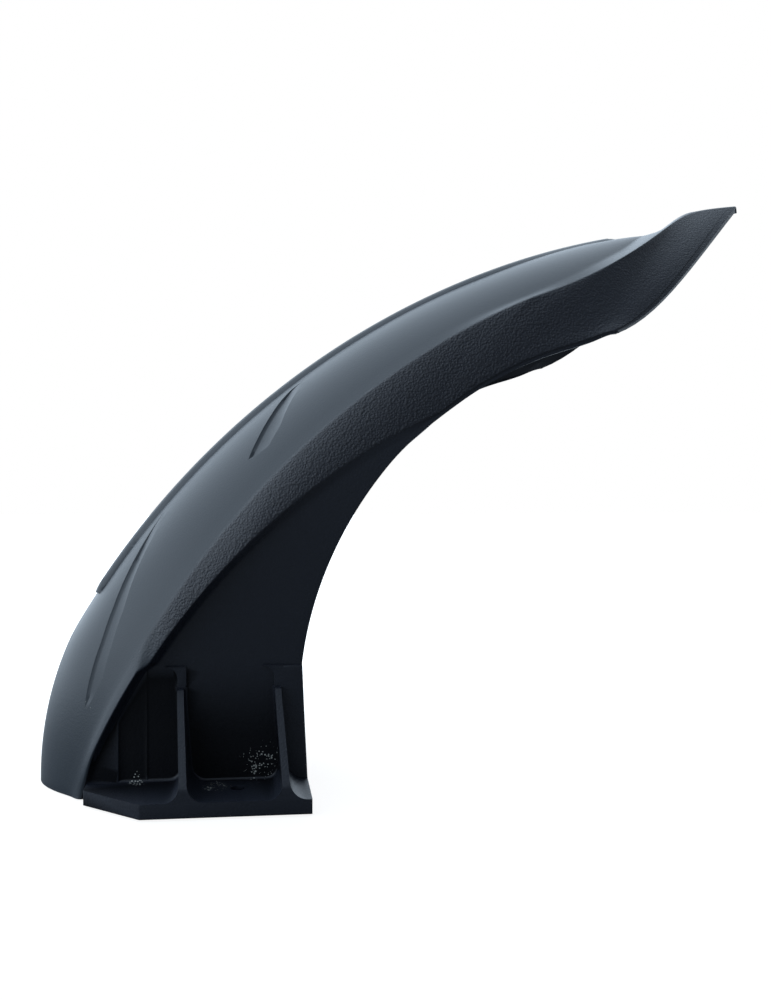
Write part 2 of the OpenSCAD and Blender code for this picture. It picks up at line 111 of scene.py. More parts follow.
@dataclass(frozen=True)
class GuardForm:
    """Guide lines and sections of the moulded shell.

    Most fields repeat the solid model's sizes, so the dressed shell lies where the solid does.
    The valley's dip, the lip's steep sides and the crest's soft end follow the photograph more
    closely than the solid. A pair of angles gives where something starts and is complete.
    """

    # The axle, the rim arc, the wall and the half widths. A narrowing is given by the angle
    # where it starts, the angle that it takes and its power
    axle_x: float = 165.0
    axle_z: float = 34.0
    rim_r: float = 141.5
    wall: float = 2.5
    skirt_half: float = 32.25
    skirt_span: Span = (18.0, 138.0)
    body_half: float = 46.0
    body_narrow: Triple = (158.0, 30.0, 1.6)
    shoulder_half: float = 40.0
    shoulder_narrow: Triple = (164.0, 26.0, 1.5)
    tail_half: float = 32.5
    tail_tuck: float = 4.5
    # The crown line and its step at the lip
    crown_r: float = 335.5
    crown_rise: float = 84.8
    crown_slope: float = 57.9
    crown_foot: float = 189.2
    tail_r: float = 132.0
    tail_rise: float = 0.8
    tail_angle: float = 170.2
    tail_span: float = 5.0
    front_angle: float = 112.0
    front_full: float = 91.0
    front_rise: float = 0.8
    lip_rise: float = 8.2
    lip_step: Span = (86.0, 81.2)
    tip_rise: float = 2.5
    tip_angle: float = 75.5
    # The upper ridge, which becomes the crest of the lip
    shoulder_rises: Triple = (90.5, 31.5, 16.6)
    shoulder_front: float = 22.6
    shoulder_least: float = 0.81
    shoulder_pull: Span = (2.0, 4.0)
    guide_start: float = 190.0
    lip_angle: float = 108.5
    crest_angle: float = 82.0
    crest_pull: float = 10.0
    crest_drop: float = 0.3
    calm_span: Span = (8.0, 3.0)
    calm_reach: float = 2.5
    keel_out: float = 3.6
    fold_lag: Span = (0.2, 0.5)
    # The valley behind the crest
    soft_fold: float = 3.0
    fold_share: float = 1.75
    valley_angle: float = 87.0
    valley_pull: Span = (6.0, 12.0)
    valley_narrow: Span = (5.0, 8.0)
    valley_drop: float = 0.05
    valley_dip: float = 1.7
    dip_start: Span = (124.0, 106.0)
    dip_end: Span = (87.0, 93.0)
    keel_in: float = 1.4
    # The rim, its border and the lower ridge
    rim_foot: float = 195.8
    rim_drop: float = 1.2
    rim_dip: Span = (140.0, 126.0)
    corner_angle: float = 97.9
    corner_rise: float = 1.2
    corner_span: Triple = (1.0, 5.0, 8.0)
    border_w: float = 1.7
    border_front: float = 0.55
    border_span: float = 4.0
    border_step: float = 0.5
    ridge_rises: Triple = (87.4, 17.9, 1.5)
    ridge_foot: float = 189.6
    ridge_lag: float = 0.3
    ridge_jog: float = 2.5
    jog_span: Span = (175.0, 176.2)
    jog_fade: float = 184.0
    merge_angle: float = 129.0
    merge_span: float = 8.0
    ledge_h: float = 3.0
    # The grained band: how far each control point lies towards the lower ridge, behind and
    # at the lip, and the powers by which its leading line runs to the tip
    band_h1: Span = (0.3, 0.64)
    band_h2: Span = (0.62, 0.94)
    band_w1: Span = (0.45, 0.7)
    band_w2: Span = (0.8, 0.86)
    lip_lead: float = 6.0
    lip_power: float = 1.5
    lead_rise: float = 1.5
    lead_width: float = 2.0

    def at(self, angle: float, rise: float, y: float) -> np.ndarray:
        """Turns a polar place to a point.

        Args:
            angle: degrees about the axle, counted up from the front.
            rise: millimetres above the rim arc.
            y: place across the guard.

        Returns:
            The point in millimetres.
        """
        turn = math.radians(angle)
        radius = self.rim_r + rise
        return np.array(
            [self.axle_x + radius * math.cos(turn), y, self.axle_z + radius * math.sin(turn)]
        )

    def rise_to_arc(self, angle: float, centre: np.ndarray, radius: float) -> float:
        """Returns the rise at which a ray from the axle meets an arc.

        Args:
            angle: direction of the ray.
            centre: centre of the arc, from the axle.
            radius: radius of the arc.

        Returns:
            The rise above the rim arc.
        """
        turn = math.radians(angle)
        along = centre[0] * math.cos(turn) + centre[1] * math.sin(turn)
        return along + math.sqrt(along * along + radius * radius - centre @ centre) - self.rim_r

    def crown(self, angle: float) -> float:
        """Draws the crown line: a long arc, a tail arc and the step at the lip.

        Args:
            angle: degrees about the axle, counted up from the front.

        Returns:
            The rise in millimetres above the rim arc.
        """
        turn, slope = math.radians(self.tail_angle), math.radians(self.crown_slope)
        start = (self.rim_r + self.crown_rise) * np.array([math.cos(turn), math.sin(turn)])
        normal = np.array([-math.sin(slope), math.cos(slope)])
        if angle > self.tail_angle:
            rise = self.rise_to_arc(angle, start - self.tail_r * normal, self.tail_r)
            full = self.tail_angle + self.tail_span
            return rise + self.tail_rise * ease(self.tail_angle, full, angle)
        rise = self.rise_to_arc(angle, start - self.crown_r * normal, self.crown_r)
        rise += self.front_rise * ease(self.front_angle, self.front_full, angle)
        step = ease(*self.lip_step, angle)
        last = clamp(part(self.crest_angle, self.tip_angle, angle))
        return rise + self.lip_rise * step + self.tip_rise * last

    def shoulder_rise(self, angle: float) -> float:
        """Draws the upper ridge from the side, which becomes the crest of the lip.

        Args:
            angle: degrees about the axle, counted up from the front.

        Returns:
            The rise in millimetres above the rim arc.
        """
        if angle > self.lip_angle:
            along = part(self.guide_start, self.lip_angle, angle)
            drawn = bezier3(*self.shoulder_rises, self.shoulder_front, along)
            return max(drawn, mix(self.crown(angle), self.ridge_line(angle), self.shoulder_least))
        if angle > self.crest_angle:
            front, top = self.shoulder_front, self.crown(self.crest_angle)
            along = part(self.lip_angle, self.crest_angle, angle)
            return bezier3(front, front, front + self.crest_pull, top, along)
        return self.crown(angle) - self.crest_drop

    def shoulder_y(self, angle: float) -> float:
        """Draws the upper ridge from above.

        Args:
            angle: degrees about the axle, counted up from the front.

        Returns:
            The half width in millimetres.
        """
        if angle > self.lip_angle:
            start, span, power = self.shoulder_narrow
            share = clamp((angle - start) / span) ** power
            return mix(self.shoulder_half, self.tail_half - self.tail_tuck, share)
        along = clamp(part(self.lip_angle, self.crest_angle, angle))
        half, (first, last) = self.shoulder_half, self.shoulder_pull
        return bezier3(half, half - first, half - last, self.keel_out, along)

    def crest(self, angle: float) -> list[float]:
        """Draws the upper ridge, softened where the crest ends.

        Args:
            angle: degrees about the axle, counted up from the front.

        Returns:
            The rise and the half width.
        """
        calm = ease(*self.calm_span, abs(angle - self.crest_angle))
        around = [angle + self.calm_reach * i / 4 for i in range(-4, 5)]
        return [
            mix(line(angle), sum(line(a) for a in around) / len(around), calm)
            for line in (self.shoulder_rise, self.shoulder_y)
        ]

    def lead(self, angle: float) -> tuple[float, float]:
        """Draws the line that leads the grained band, calm where the crest ends.

        Args:
            angle: degrees about the axle, counted up from the front.

        Returns:
            The rise and the half width.
        """
        if angle > self.lip_angle:
            return self.shoulder_rise(angle), self.shoulder_y(angle)
        along = part(self.lip_angle, self.tip_angle, angle)
        top = self.shoulder_rise(self.tip_angle)
        rise = mix(self.shoulder_front, top, along**self.lead_rise)
        return rise, mix(self.shoulder_half, self.keel_out, along**self.lead_width)

    def fold_slope(self, angle: float) -> float:
        """Returns the slope at which the top face reaches the upper ridge."""
        drop = self.crown(angle) - self.shoulder_rise(angle)
        return self.fold_share * drop / self.shoulder_y(angle)

    def valley_rise(self, angle: float) -> float:
        """Draws the valley behind the crest from the side.

        Args:
            angle: degrees about the axle, counted up from the front.

        Returns:
            The rise in millimetres above the rim arc.
        """
        dip = self.valley_dip * ease(*self.dip_start, angle) * ease(*self.dip_end, angle)
        if angle > self.lip_angle:
            return self.shoulder_rise(angle) + self.soft_fold * self.fold_slope(angle) - dip
        if angle > self.valley_angle:
            along = part(self.lip_angle, self.valley_angle, angle)
            start = self.soft_fold * self.fold_slope(self.lip_angle)
            rises = (self.shoulder_front + more for more in (start, *self.valley_pull))
            return bezier3(*rises, self.crown(self.valley_angle), along) - dip
        return self.crown(angle) - self.valley_drop

    def valley_y(self, angle: float) -> float:
        """Draws the valley from above.

        Args:
            angle: degrees about the axle, counted up from the front.

        Returns:
            The half width in millimetres.
        """
        if angle > self.lip_angle:
            return self.shoulder_y(angle) - self.soft_fold
        along = clamp(part(self.lip_angle, self.valley_angle, angle))
        widths = (self.shoulder_half - less for less in (self.soft_fold, *self.valley_narrow))
        return bezier3(*widths, self.keel_in, along)

    def top_rise(self, angle: float, y: float) -> float:
        """Returns the rise of the smooth top face at a side."""
        share = (y / self.valley_y(angle)) ** 2
        return mix(self.crown(angle), self.valley_rise(angle), share)

    def rim_rise(self, angle: float) -> float:
        """Draws the rim, which dips in front and rises to the lip's corner.

        Args:
            angle: degrees about the axle, counted up from the front.

        Returns:
            The rise in millimetres above the rim arc.
        """
        corner, (first, middle, last) = self.corner_angle, self.corner_span
        dip = ease(*self.rim_dip, angle) * ease(corner + first, corner + last, angle)
        return self.corner_rise * ease(corner + middle, corner, angle) - self.rim_drop * dip

    def ridge_line(self, angle: float) -> float:
        """Draws the lower ridge without its step at the pockets.

        Args:
            angle: degrees about the axle, counted up from the front.

        Returns:
            The rise in millimetres above the rim arc.
        """
        along = part(self.guide_start, self.merge_angle, angle)
        slim = ease(self.corner_angle + self.border_span, self.corner_angle, angle)
        border = self.border_w * mix(1, self.border_front, slim)
        drawn = bezier2(*self.ridge_rises, along)
        return self.rim_rise(angle) + max(border, drawn)

    def ridge_rise(self, angle: float) -> float:
        """Returns the rise of the lower ridge, with its step at the pockets."""
        step = ease(*self.jog_span, angle) * ease(self.guide_start, self.jog_fade, angle)
        return self.ridge_line(angle) + self.ridge_jog * step

    def ridge_y(self, angle: float) -> float:
        """Returns the half width at the lower ridge."""
        start, span, power = self.body_narrow
        return mix(self.body_half, self.tail_half, clamp((angle - start) / span) ** power)

    def skirt_y(self, z: float) -> float:
        """Returns the outer half width of the skirt at a height."""
        share = ease(*self.skirt_span, z)
        return mix(self.skirt_half, self.body_half - self.border_step, share)

    def pieces(self, s: float, step: float) -> list[Curve]:
        """Returns the five curves of half a section, from the crown to the rim.

        Args:
            s: place along the guard, from 0 at the tail to 1 at the lip.
            step: depth of the border's step.

        Returns:
            One function for each stretch between two folds, which gives a point for 0 to 1.
        """
        crown_a = mix(self.crown_foot, self.tip_angle, s)
        fold_a = mix(self.crown_foot + self.fold_lag[0], self.tip_angle + self.fold_lag[1], s)
        ridge_a = mix(self.ridge_foot, self.corner_angle + self.ridge_lag, s)
        rim_a = mix(self.rim_foot, self.corner_angle, s)
        crown_h, valley_h = self.crown(crown_a), self.valley_rise(fold_a)
        shoulder_h, shoulder_w = self.crest(fold_a)
        ridge_h, ridge_w = self.ridge_rise(ridge_a), self.ridge_y(ridge_a)
        valley_w = self.valley_y(fold_a)
        skirt = ease(self.merge_angle, self.merge_angle + self.merge_span, ridge_a)
        under_h = ridge_h - mix(self.border_step, self.ledge_h, skirt)
        under_z = self.at(ridge_a, under_h, 0)[2]
        rim_z = self.at(rim_a, 0, 0)[2]
        under_w = mix(self.body_half - step, self.skirt_y(under_z), skirt)
        rim_w = mix(self.body_half - step, self.skirt_y(rim_z), skirt)
        start = self.lip_angle + self.lip_lead
        lip = clamp(part(start, self.tip_angle, fold_a)) ** self.lip_power
        lead_h, lead_w = self.lead(fold_a)
        h1, h2 = (mix(lead_h, ridge_h, mix(*pull, lip)) for pull in (self.band_h1, self.band_h2))
        w1, w2 = (mix(lead_w, ridge_w, mix(*pull, lip)) for pull in (self.band_w1, self.band_w2))

        def top(u: float) -> np.ndarray:
            """Follows the smooth top face.

            Args:
                u: place on the curve, from 0 to 1.

            Returns:
                The point.
            """
            return self.at(
                mix(crown_a, fold_a, u * u), mix(crown_h, valley_h, u * u), valley_w * u
            )

        def straight(angle: float, rises: Span, widths: Span) -> Curve:
            """Returns the straight stretch between two folds at one angle."""
            return lambda u: self.at(angle, mix(*rises, u), mix(*widths, u))

        def band(u: float) -> np.ndarray:
            """Follows the grained band.

            Args:
                u: place on the curve, from 0 to 1.

            Returns:
                The point.
            """
            return self.at(
                mix(fold_a, ridge_a, u),
                bezier3(shoulder_h, h1, h2, ridge_h, u),
                bezier3(shoulder_w, w1, w2, ridge_w, u),
            )

        def side(u: float) -> np.ndarray:
            """Follows the skirt.

            Args:
                u: place on the curve, from 0 to 1.

            Returns:
                The point.
            """
            angle, rise = mix(ridge_a, rim_a, u), mix(under_h, self.rim_rise(rim_a), u)
            followed = self.skirt_y(self.at(angle, rise, 0)[2])
            return self.at(angle, rise, mix(mix(under_w, rim_w, u), followed, skirt))

        fold = straight(fold_a, (valley_h, shoulder_h), (valley_w, shoulder_w))
        ledge = straight(ridge_a, (ridge_h, under_h), (ridge_w, under_w))
        return [top, fold, band, ledge, side]

    def inward(self, s: float, fold: Fold) -> np.ndarray:
        """Returns the way from a fold of the plain face to the inside of the wall.

        Args:
            s: place along the guard.
            fold: the fold.

        Returns:
            A vector in millimetres, mitred between the two faces that meet there.
        """
        # The shares over which directions are taken, and the limit of the mitre at sharp folds
        reach, inner, outer, sharpest = 0.004, 0.12, 0.1, 0.27
        here = self.pieces(s, 0)
        k = fold.value

        def fold_point(curves: list[Curve]) -> np.ndarray:
            """Returns the fold's point on the curves of one section."""
            return curves[k](0.0) if k < 5 else curves[4](1.0)

        low, high = max(0.0, s - reach), min(1.0, s + reach)
        along = fold_point(self.pieces(high, 0)) - fold_point(self.pieces(low, 0))
        after = here[k](inner) - here[k](0.0) if k < 5 else here[4](1.0) - here[4](1 - outer)
        before = here[k - 1](1.0) - here[k - 1](1 - inner) if k > 0 else after * [-1, 1, -1]
        first, second = np.cross(along, before), np.cross(along, after)
        bisector = (first / np.linalg.norm(first) + second / np.linalg.norm(second)) / 2
        way = -self.wall * bisector / max(sharpest, bisector @ bisector)
        return way * [1, 0, 1] if fold is Fold.CROWN else way


@dataclass(frozen=True)
class SectionGrid:
    """How finely half a section is drawn, and how far each fold is rounded.

    The spans are places along the guard, from 0 at the tail to 1 at the lip.
    """

    steps: tuple[int, ...] = (17, 3, 12, 3, 11)
    corner_steps: int = 4
    corner_share: float = 0.42
    chords: int = 6
    valley_r: float = 2.6
    valley_lip_r: float = 1.3
    shoulder_r: float = 1.3
    shoulder_tail_r: float = 9.0
    ridge_r: float = 0.9
    under_r: float = 1.1
    tail_span: Span = (0.42, 0.1)
    lip_span: Span = (0.6, 0.75)

    def radii(self, s: float) -> tuple[float, ...]:
        """Says how far the folds are rounded.

        Args:
            s: place along the guard.

        Returns:
            The rounding at the valley, the upper ridge, the lower ridge and under it.
        """
        shoulder = mix(self.shoulder_r, self.shoulder_tail_r, ease(*self.tail_span, s))
        valley = mix(self.valley_r, self.valley_lip_r, ease(*self.lip_span, s))
        return (valley, shoulder, self.ridge_r, self.under_r)

    def half(self, form: GuardForm, s: float, step: float) -> tuple[np.ndarray, np.ndarray]:
        """Draws half a section with rounded folds.

        Args:
            form: the guard's form.
            s: place along the guard.
            step: depth of the border's step.

        Returns:
            The points in millimetres, and for each its place counted in folds.
        """
        curves, n, share = form.pieces(s, step), self.chords, self.corner_share
        lengths = [
            sum(float(np.linalg.norm(c((i + 1) / n) - c(i / n))) for i in range(n))
            for c in form.pieces(s, form.border_step)
        ]
        radii = [
            min(r, share * lengths[k], share * lengths[k + 1])
            for k, r in enumerate(self.radii(s))
        ]
        starts = [0.0] + [r / lengths[k + 1] for k, r in enumerate(radii)]
        ends = [1 - r / lengths[k] for k, r in enumerate(radii)] + [1.0]
        points: list[np.ndarray] = []
        places: list[float] = []
        for k, curve in enumerate(curves):
            for i in range(self.steps[k] + 1):
                u = mix(starts[k], ends[k], i / self.steps[k])
                points.append(curve(u))
                places.append(k + u)
            if k == 4:
                break
            first, corner, last = points[-1], curve(1.0), curves[k + 1](starts[k + 1])
            for i in range(1, self.corner_steps):
                u = i / self.corner_steps
                points.append((1 - u) ** 2 * first + 2 * u * (1 - u) * corner + u * u * last)
                places.append(k + 1.0)
        return np.array(points), np.array(places)


def add_object(name: str, data: bpy.types.ID) -> Thing:
    """Puts data into a new object in the scene.

    Args:
        name: name of the object.
        data: a mesh, a light or a camera.

    Returns:
        The object.
    """
    made = bpy.data.objects.new(name, data)
    bpy.context.scene.collection.objects.link(made)
    return made


def discard(thing: Thing) -> None:
    """Removes an object by its mesh, which takes every object that uses it along."""
    bpy.data.meshes.remove(thing.data)


def new_object(name: str, bm: BMesh) -> Thing:
    """Puts a bmesh into a new object in the scene, and numbers its faces by the solid.

    Args:
        name: name of the object.
        bm: the mesh, which is freed.

    Returns:
        The object.
    """
    if "solid" not in bm.faces.layers.int:
        layer = bm.faces.layers.int.new("solid")
        number = next(NUMBERS)
        for f in bm.faces:
            f[layer] = number
    mesh = bpy.data.meshes.new(name)
    bm.to_mesh(mesh)
    bm.free()
    return add_object(name, mesh)


def sheet(bm: BMesh, points: np.ndarray) -> list[BMEdge]:
    """Adds a grid whose vertices are moved to the given points.

    Args:
        bm: the mesh to add to.
        points: rows by columns by 3, in millimetres.

    Returns:
        The edges round the grid.
    """
    rows, columns = points.shape[:2]
    made = bmesh.ops.create_grid(bm, x_segments=rows - 1, y_segments=columns - 1, size=1.0)
    for v in made["verts"]:
        i = round((v.co.x + 1) / 2 * (rows - 1))
        j = round((v.co.y + 1) / 2 * (columns - 1))
        v.co = Vector(points[i, j] * MM)
    return [e for e in {e for v in made["verts"] for e in v.link_edges} if e.is_boundary]


def closed_loft(name: str, rings: np.ndarray) -> Thing:
    """Makes a closed solid through rings of equal length.

    Args:
        name: name of the object.
        rings: rings by points by 3, in millimetres.

    Returns:
        The object.
    """
    bm = bmesh.new()
    sheet(bm, np.concatenate([rings, rings[:, :1]], axis=1))
    bmesh.ops.remove_doubles(bm, verts=bm.verts, dist=1e-6)
    bmesh.ops.holes_fill(bm, edges=[e for e in bm.edges if e.is_boundary])
    bmesh.ops.recalc_face_normals(bm, faces=bm.faces)
    return new_object(name, bm)


def only(kind: type, geom: list) -> list:
    """Returns the elements of one kind."""
    return [g for g in geom if isinstance(g, kind)]


def mirrored(name: str, halves: list[Thing]) -> Thing:
    """Joins solids and their mirror images across the guard's middle plane.

    Args:
        name: name of the joined object.
        halves: the solids, which are removed.

    Returns:
        The joined object, whose faces keep their solids' numbers.
    """
    bm = bmesh.new()
    for half in halves:
        bm.from_mesh(half.data)
        discard(half)
    made = bmesh.ops.duplicate(bm, geom=bm.verts[:] + bm.edges[:] + bm.faces[:])["geom"]
    bmesh.ops.scale(bm, verts=only(BMVert, made), vec=(1, -1, 1))
    bmesh.ops.reverse_faces(bm, faces=only(BMFace, made))
    return new_object(name, bm)


class Join(Enum):
    """How a solid is joined to another."""

    ADD = "UNION"
    CUT = "DIFFERENCE"


def combine(base: Thing, tools: list[tuple[Join, Thing]]) -> None:
    """Adds solids to a base or cuts them from it, and removes them.

    Args:
        base: the object that is changed.
        tools: each solid with how it is joined, in order.
    """
    for how, tool in tools:
        step = base.modifiers.new(how.name.lower(), "BOOLEAN")
        step.operation = how.value
        step.solver = "MANIFOLD"
        step.object = tool
    graph = bpy.context.evaluated_depsgraph_get()
    mesh = bpy.data.meshes.new_from_object(base.evaluated_get(graph))
    base.modifiers.clear()
    old, base.data = base.data, mesh
    bpy.data.meshes.remove(old)
    for _, tool in tools:
        discard(tool)


@dataclass
class Shell:
    """The thin curved wall with its spine and its blade-shaped recesses."""

    form: GuardForm
    grid: SectionGrid = field(default_factory=SectionGrid)
    rings: int = 210
    # The bead along the lip, in shares of the guard's length, and where it fades near the crown
    bead: float = 0.007
    bead_start: float = 1.25
    bead_full: float = 1.1
    bead_rings: int = 9
    bead_depth: float = 0.28
    bead_sides: Span = (6.0, 16.0)
    edge_r: float = 0.55
    spine_start: float = 169.6
    spine_end: float = 90.2
    spine_rings: int = 160
    spine_ramp: float = 2.2
    spine_half: float = 10.0
    spine_h: float = 0.8
    spine_slope: float = 0.8
    # The spine's rounded rear end: its length in degrees, its drop and the share it narrows by
    nose: Triple = (1.3, 0.5, 0.12)
    # Rows of an angle and the half widths of a blade's steep and soft side
    front_blade: tuple[Triple, ...] = (
        (150.1, 29.8, 30.1), (147.4, 26.0, 31.3), (144.3, 21.3, 27.9), (141.7, 17.1, 22.9),
        (139.8, 14.8, 19.3), (137.8, 14.6, 16.9), (135.9, 14.4, 14.8),
    )
    rear_blade: tuple[Triple, ...] = (
        (180.5, 28.2, 28.6), (177.4, 27.1, 30.8), (173.6, 26.0, 29.5), (169.8, 22.8, 26.9),
        (165.3, 18.9, 22.4), (161.8, 15.6, 18.9), (158.8, 13.4, 16.0), (155.6, 13.0, 13.4),
    )
    blade_rings: int = 60
    blade_depth: float = 1.35
    blade_clear: float = 1.2
    blade_blur: float = 0.03
    recess_rings: int = 52
    recess_depth: float = 0.8
    recess_back: float = 44.5
    recess_front: float = -18.6
    recess_foot: float = 4.5
    recess_top: float = 48.0
    recess_r: float = 3.5
    recess_top_r: float = 1.2
    seam_x: float = 34.0
    seam_h: float = 0.25
    seam_span: Span = (0.5, 0.15)

    def stations(self) -> np.ndarray:
        """Sets the places of the rings, closer together at the lip's border.

        Returns:
            Places along the guard, from 0 to 1.
        """
        start = 1 - self.bead * self.bead_start
        edge = np.linspace(start, 1, self.bead_rings + 1)[1:]
        return np.concatenate([np.linspace(0, start, self.rings), edge])

    def faces(self) -> tuple[np.ndarray, np.ndarray]:
        """Draws the outer and the inner face.

        Returns:
            Two arrays of rows by columns by 3, in millimetres.
        """
        outer, inner = [], []
        first, width = self.bead_sides
        for s in self.stations():
            face, _ = self.grid.half(self.form, s, self.form.border_step)
            plain, place = self.grid.half(self.form, s, 0)
            ways = [self.form.inward(s, fold) for fold in Fold]
            folds = [min(4, int(at)) for at in place]
            inside = np.array(
                [p + mix(ways[k], ways[k + 1], at - k) for p, k, at in zip(plain, folds, place)]
            )
            sunk = self.bead_depth * ease(1 - self.bead * self.bead_full, 1 - self.bead, s)
            way = inside - plain
            share = np.clip((face[:, 1] - first) / width, 0, 1)
            face = face + (sunk * share / np.linalg.norm(way, axis=1))[:, None] * way
            for rows, half in ((outer, face), (inner, inside)):
                other = half[:0:-1] * [1, -1, 1]
                rows.append(np.concatenate([other, half]))
        return np.array(outer), np.array(inner)

    def wall(self) -> Thing:
        """Makes the closed wall with rounded free edges.

        Returns:
            The wall.
        """
        outer, inner = self.faces()
        bm = bmesh.new()
        edges = sheet(bm, outer)
        known = set(edges)
        inner_edges = [e for e in sheet(bm, inner) if e not in known]
        bmesh.ops.bridge_loops(bm, edges=edges + inner_edges)
        bmesh.ops.recalc_face_normals(bm, faces=bm.faces)
        round_edges(bm, edges + inner_edges, self.edge_r, 3)
        return new_object("mudguard", bm)

    def spine(self) -> Thing:
        """Makes the flat raised strip along the crown, which fades out before the lip.

        Returns:
            The strip.
        """
        form, steps, sink = self.form, self.spine_rings, self.form.wall / 2
        nose_span, nose_drop, nose_narrow = self.nose
        rings = []
        for j in range(steps + 1):
            angle = mix(self.spine_start, self.spine_end, j / steps)
            half = self.spine_half * mix(1, 0.5, ease(form.front_angle, self.spine_end, angle))
            nose = (1 - clamp((self.spine_start - angle) / nose_span)) ** 2
            half *= 1 - nose_narrow * nose
            edge = form.top_rise(angle, half)
            end = ease(self.spine_end + self.spine_ramp, self.spine_end, angle)
            top = mix(form.crown(angle) + self.spine_h - nose_drop * nose, edge - sink / 2, end)
            corner = min(0.45, (top - edge + sink) / 3)
            foot = half + self.spine_slope
            base = form.top_rise(angle, foot)
            # From inside the wall up the sloped side, over a rounded edge to the flat top
            profile = [
                (base - sink, foot + 0.3),
                (base - 0.1, foot + 0.2),
                (mix(edge, top, 0.62) - corner * 0.2, half - 0.3),
                (top - corner * 0.3, half - 1.4),
                (top, half - 2.3),
                (top + 0.04, half * 0.4),
            ]
            ring = [form.at(angle, rise, -y) for rise, y in profile]
            ring += [form.at(angle, rise, y) for rise, y in reversed(profile)]
            rings.append(ring)
        return closed_loft("spine", np.array(rings))

    def blade(self, shape: tuple[Triple, ...]) -> Thing:
        """Makes the cutter of one recess, steep along its inner side.

        Args:
            shape: rows of the angle and the half widths of the inner and the outer side.

        Returns:
            The cutter.
        """
        form, steps, clear = self.form, self.blade_rings, self.blade_clear
        rows = np.array(shape)
        spread = np.linspace(-self.blade_blur, self.blade_blur, 7)
        along = np.abs(rows[:, 0] - rows[0, 0]) / np.ptp(rows[:, 0])
        rings = []
        for j in range(steps + 1):
            u = j / steps
            angle = mix(rows[0, 0], rows[-1, 0], u)
            y1, y2 = (float(np.interp(u + spread, along, rows[:, k]).mean()) for k in (1, 2))
            y2 = max(y1 + 0.4, y2)
            h1, h2 = form.top_rise(angle, y1), form.top_rise(angle, y2)
            # Deep soon behind the lower end, and fading out over the upper half
            depth = self.blade_depth * ease(0, 0.06, u) * ease(1.0, 0.55, u) + 0.05
            steep = ease(0.88, 0.58, u)
            groove = y1 + mix(0.5 * (y2 - y1), min(0.42, (y2 - y1) / 3), steep)
            rim = depth * mix(0.7, 0.08, ease(0.02, 0.2, u))
            # The steep side, the groove's bottom, the soft side's edge and the two above the face
            profile = [
                (h1 - depth * mix(0.1, 0.8, steep), y1 + 0.05),
                (mix(h1 - depth, h2, 0.06), groove),
                (h2 - rim, y2),
                (h2 + clear, y2 + 0.4),
                (h1 + clear, y1 - 0.5),
            ]
            rings.append([form.at(angle, rise, y) for rise, y in profile])
        return closed_loft("blade", np.array(rings))

    def recess(self) -> Thing:
        """Makes the cutter of the shallow recess behind the rear rib, with a hollow rear end.

        Returns:
            The cutters of both sides.
        """
        form = self.form
        angles = np.linspace(form.guide_start - 20, form.guide_start, 60)
        line = [form.at(a, form.ridge_rise(a) - form.ledge_h - 0.2, 0) for a in angles][::-1]
        line_x, line_z = [p[0] for p in line], [p[2] for p in line]
        rings = []
        for x in np.linspace(-self.recess_back, self.recess_front, self.recess_rings):
            inside = clamp((x + self.recess_back) / self.recess_r)
            depth = self.recess_depth * math.sqrt(1 - (1 - inside) ** 2) + 0.02
            depth -= self.seam_h * ease(*self.seam_span, abs(x + self.seam_x))
            top = min(self.recess_top, float(np.interp(x, line_x, line_z)))
            levels = [mix(self.recess_foot, top, i / 12) for i in range(13)]
            below = [clamp((top - z) / self.recess_top_r) for z in levels]
            hollow = [depth * math.sqrt(1 - (1 - share) ** 2) for share in below]
            ring = [np.array([x, d - form.skirt_y(z), z]) for d, z in zip(hollow, levels)]
            ring += [np.array([x, -1 - form.skirt_y(z), z]) for z in reversed(levels)]
            rings.append(ring)
        return mirrored("recesses", [closed_loft("recess", np.array(rings))])

    def blades(self) -> Thing:
        """Makes the cutters of the four recesses as one object."""
        return mirrored("blades", [self.blade(s) for s in (self.front_blade, self.rear_blade)])


def block(bm: BMesh, low: Point, high: Point) -> None:
    """Adds a box to a mesh.

    Args:
        bm: the mesh.
        low: lowest corner in millimetres.
        high: highest corner in millimetres.
    """
    verts = bmesh.ops.create_cube(bm, size=1.0)["verts"]
    size = [(b - a) * MM for a, b in zip(low, high)]
    middle = [(a + b) / 2 * MM for a, b in zip(low, high)]
    bmesh.ops.scale(bm, verts=verts, vec=size)
    bmesh.ops.translate(bm, verts=verts, vec=middle)


def box_object(name: str, low: Point, high: Point) -> Thing:
    """Makes a box as an object of its own.

    Args:
        name: name of the object.
        low: lowest corner in millimetres.
        high: highest corner in millimetres.

    Returns:
        The object.
    """
    bm = bmesh.new()
    block(bm, low, high)
    return new_object(name, bm)


def slice_at(bm: BMesh, heights: tuple[float, ...]) -> None:
    """Cuts a mesh's faces at heights, and keeps both parts.

    Args:
        bm: the mesh.
        heights: the heights in millimetres.
    """
    for z in heights:
        geom = bm.verts[:] + bm.edges[:] + bm.faces[:]
        bmesh.ops.bisect_plane(bm, geom=geom, plane_co=(0, 0, z * MM), plane_no=(0, 0, 1))


def round_edges(bm: BMesh, edges: list[BMEdge], r: float, n: int) -> None:
    """Rounds edges of a mesh by a radius r in millimetres, in n segments."""
    shape = {"affect": "EDGES", "profile": 0.5, "material": -1, "clamp_overlap": True}
    bmesh.ops.bevel(bm, geom=edges, offset=r * MM, segments=n, **shape)


def near(value: float, wanted: float) -> bool:
    """Returns whether a place in metres is at a place in millimetres."""
    return abs(value - wanted * MM) < 2e-6


def edges_where(bm: BMesh, test: Callable[[BMVert], bool]) -> list[BMEdge]:
    """Returns the edges with both ends passing a test."""
    return [e for e in bm.edges if all(test(v) for v in e.verts)]


